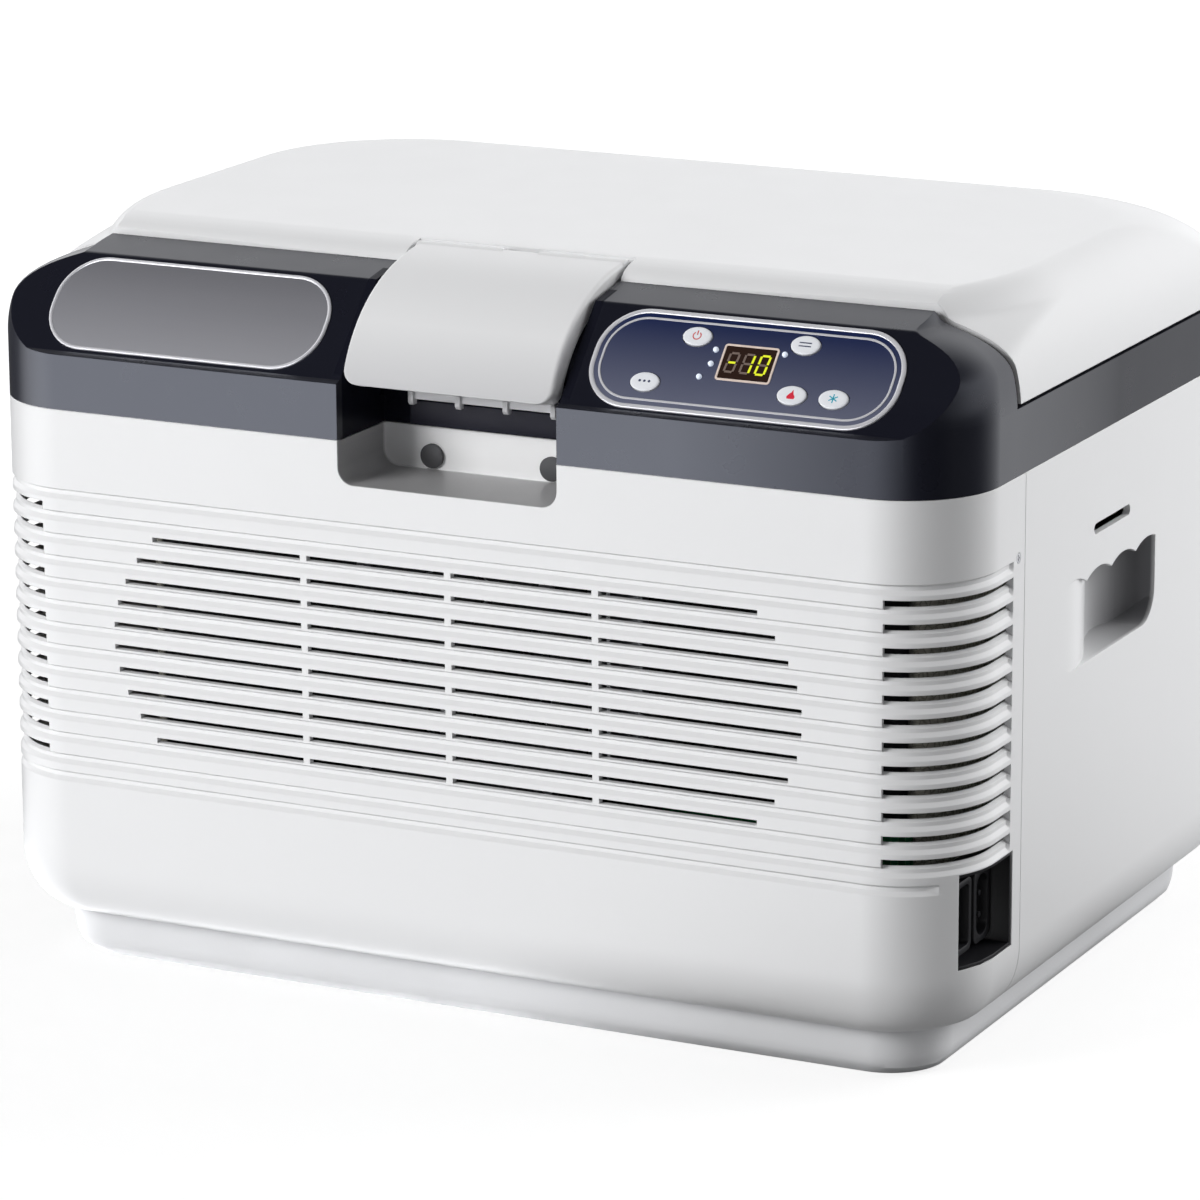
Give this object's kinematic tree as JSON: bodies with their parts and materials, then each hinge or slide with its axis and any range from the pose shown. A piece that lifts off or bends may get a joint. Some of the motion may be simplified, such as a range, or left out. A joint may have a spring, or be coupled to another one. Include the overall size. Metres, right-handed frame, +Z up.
{
  "type": "portable cooler fridge",
  "caption": "Box-shaped portable cooler fridge with a louvred front, dark rim frame, sloped control fascia, hinged lid and a curved latch flap.",
  "frame": {"origin": "middle of the base, on the floor it stands on", "axes": "+X to the user's right as the user faces the control fascia, +Y to the back where the lid hinges are, +Z up"},
  "size_m": [0.44, 0.3417, 0.3095],
  "materials": {
    "white_plastic": "satin moulded",
    "pan_plastic": "fine-grained moulded",
    "navy_plastic": "high gloss moulded",
    "keeper_plastic": "matte moulded",
    "plug_plastic": "matte moulded",
    "black_plastic": "matte moulded",
    "fan_plastic": "satin moulded",
    "liner_plastic": "smooth vacuum-formed",
    "hook_plastic": "satin moulded",
    "key_plastic": "satin moulded",
    "foot_rubber": "matte",
    "seal_rubber": "soft matte",
    "badge_metal": "fine brushed",
    "ring_metal": "satin chrome",
    "overlay_film": "printed film, gradient from navy to grey",
    "window_plastic": "smoked, clear gloss",
    "led_plastic": "frosted lens",
    "module_plastic": "moulded",
    "board_laminate": "solder mask",
    "foam": "expanded bead foam",
    "ceramic": "white ceramic",
    "aluminium": "extruded, brushed",
    "screw_steel": "zinc plated",
    "pin_steel": "ground",
    "spring_steel": "drawn wire",
    "cable_sheath": "soft vinyl"
  },
  "bodies": {
    "cabinet": {"base_pan": "pan_plastic", "rubber_feet": "foot_rubber", "base_screws": "screw_steel", "front_panel": "white_plastic", "rear_shell": "white_plastic", "rim_frame": "navy_plastic", "badge_plate": "badge_metal", "badge_ring": "ring_metal", "control_bezel": "ring_metal", "control_overlay": "overlay_film", "display_module": "module_plastic", "display_window": "window_plastic", "indicator_leds": "led_plastic", "control_board": "board_laminate", "inner_liner": "liner_plastic", "insulation_foam": "foam", "peltier_module": "ceramic", "thermal_spacer": "aluminium", "cold_sink": "aluminium", "cold_fan_frame": "fan_plastic", "cold_duct_cover": "liner_plastic", "duct_screws": "screw_steel", "hot_sink": "aluminium", "hot_fan_frame": "fan_plastic", "fan_screws": "screw_steel", "sink_screws": "screw_steel", "power_board": "board_laminate", "socket_housing": "black_plastic", "dc_socket": "black_plastic", "ac_inlet": "black_plastic", "latch_keeper": "keeper_plastic", "recess_plugs": "plug_plastic", "temperature_probe": "black_plastic", "wiring_harness": "cable_sheath", "hinge_brackets": "navy_plastic", "hinge_screws": "screw_steel", "hinge_pins": "pin_steel", "seam_screws": "screw_steel"},
    "lid": {"lid_outer": "white_plastic", "lid_inner": "liner_plastic", "lid_foam": "foam", "lid_seal": "seal_rubber", "lid_hinge_arms": "white_plastic", "lid_screws": "screw_steel", "latch_pin": "pin_steel", "latch_spring": "spring_steel"},
    "latch": {"latch_flap": "white_plastic", "latch_hook": "hook_plastic"},
    "power_button": {"power_button": "key_plastic"},
    "set_button": {"set_button": "key_plastic"},
    "aux_button": {"aux_button": "key_plastic"},
    "heat_button": {"heat_button": "key_plastic"},
    "cool_button": {"cool_button": "key_plastic"},
    "hot_fan_rotor": {"hot_fan_rotor": "fan_plastic"},
    "cold_fan_rotor": {"cold_fan_rotor": "fan_plastic"}
  },
  "joints": [
    {"name": "lid_hinge", "type": "hinge", "parent": "cabinet", "child": "lid", "pos_m": [0, 0.1715, 0.267], "axis": [-1, 0, 0], "range_deg": [0, 95]},
    {"name": "latch_hinge", "type": "hinge", "parent": "lid", "child": "latch", "pos_m": [0, -0.0975, 0.3054], "axis": [-1, 0, 0], "range_deg": [0, 38]},
    {"name": "power_press", "type": "slide", "parent": "cabinet", "child": "power_button", "axis": [0, 0.738, -0.6748], "range_m": [0, 0.0008]},
    {"name": "set_press", "type": "slide", "parent": "cabinet", "child": "set_button", "axis": [0, 0.738, -0.6748], "range_m": [0, 0.0008]},
    {"name": "aux_press", "type": "slide", "parent": "cabinet", "child": "aux_button", "axis": [0, 0.738, -0.6748], "range_m": [0, 0.0008]},
    {"name": "heat_press", "type": "slide", "parent": "cabinet", "child": "heat_button", "axis": [0, 0.738, -0.6748], "range_m": [0, 0.0008]},
    {"name": "cool_press", "type": "slide", "parent": "cabinet", "child": "cool_button", "axis": [0, 0.738, -0.6748], "range_m": [0, 0.0008]},
    {"name": "hot_fan_spin", "type": "hinge", "parent": "cabinet", "child": "hot_fan_rotor", "pos_m": [0, -0.145, 0.147], "axis": [0, -1, 0], "continuous": true},
    {"name": "cold_fan_spin", "type": "hinge", "parent": "cabinet", "child": "cold_fan_rotor", "pos_m": [0, -0.044, 0.147], "axis": [0, 1, 0], "continuous": true}
  ]
}
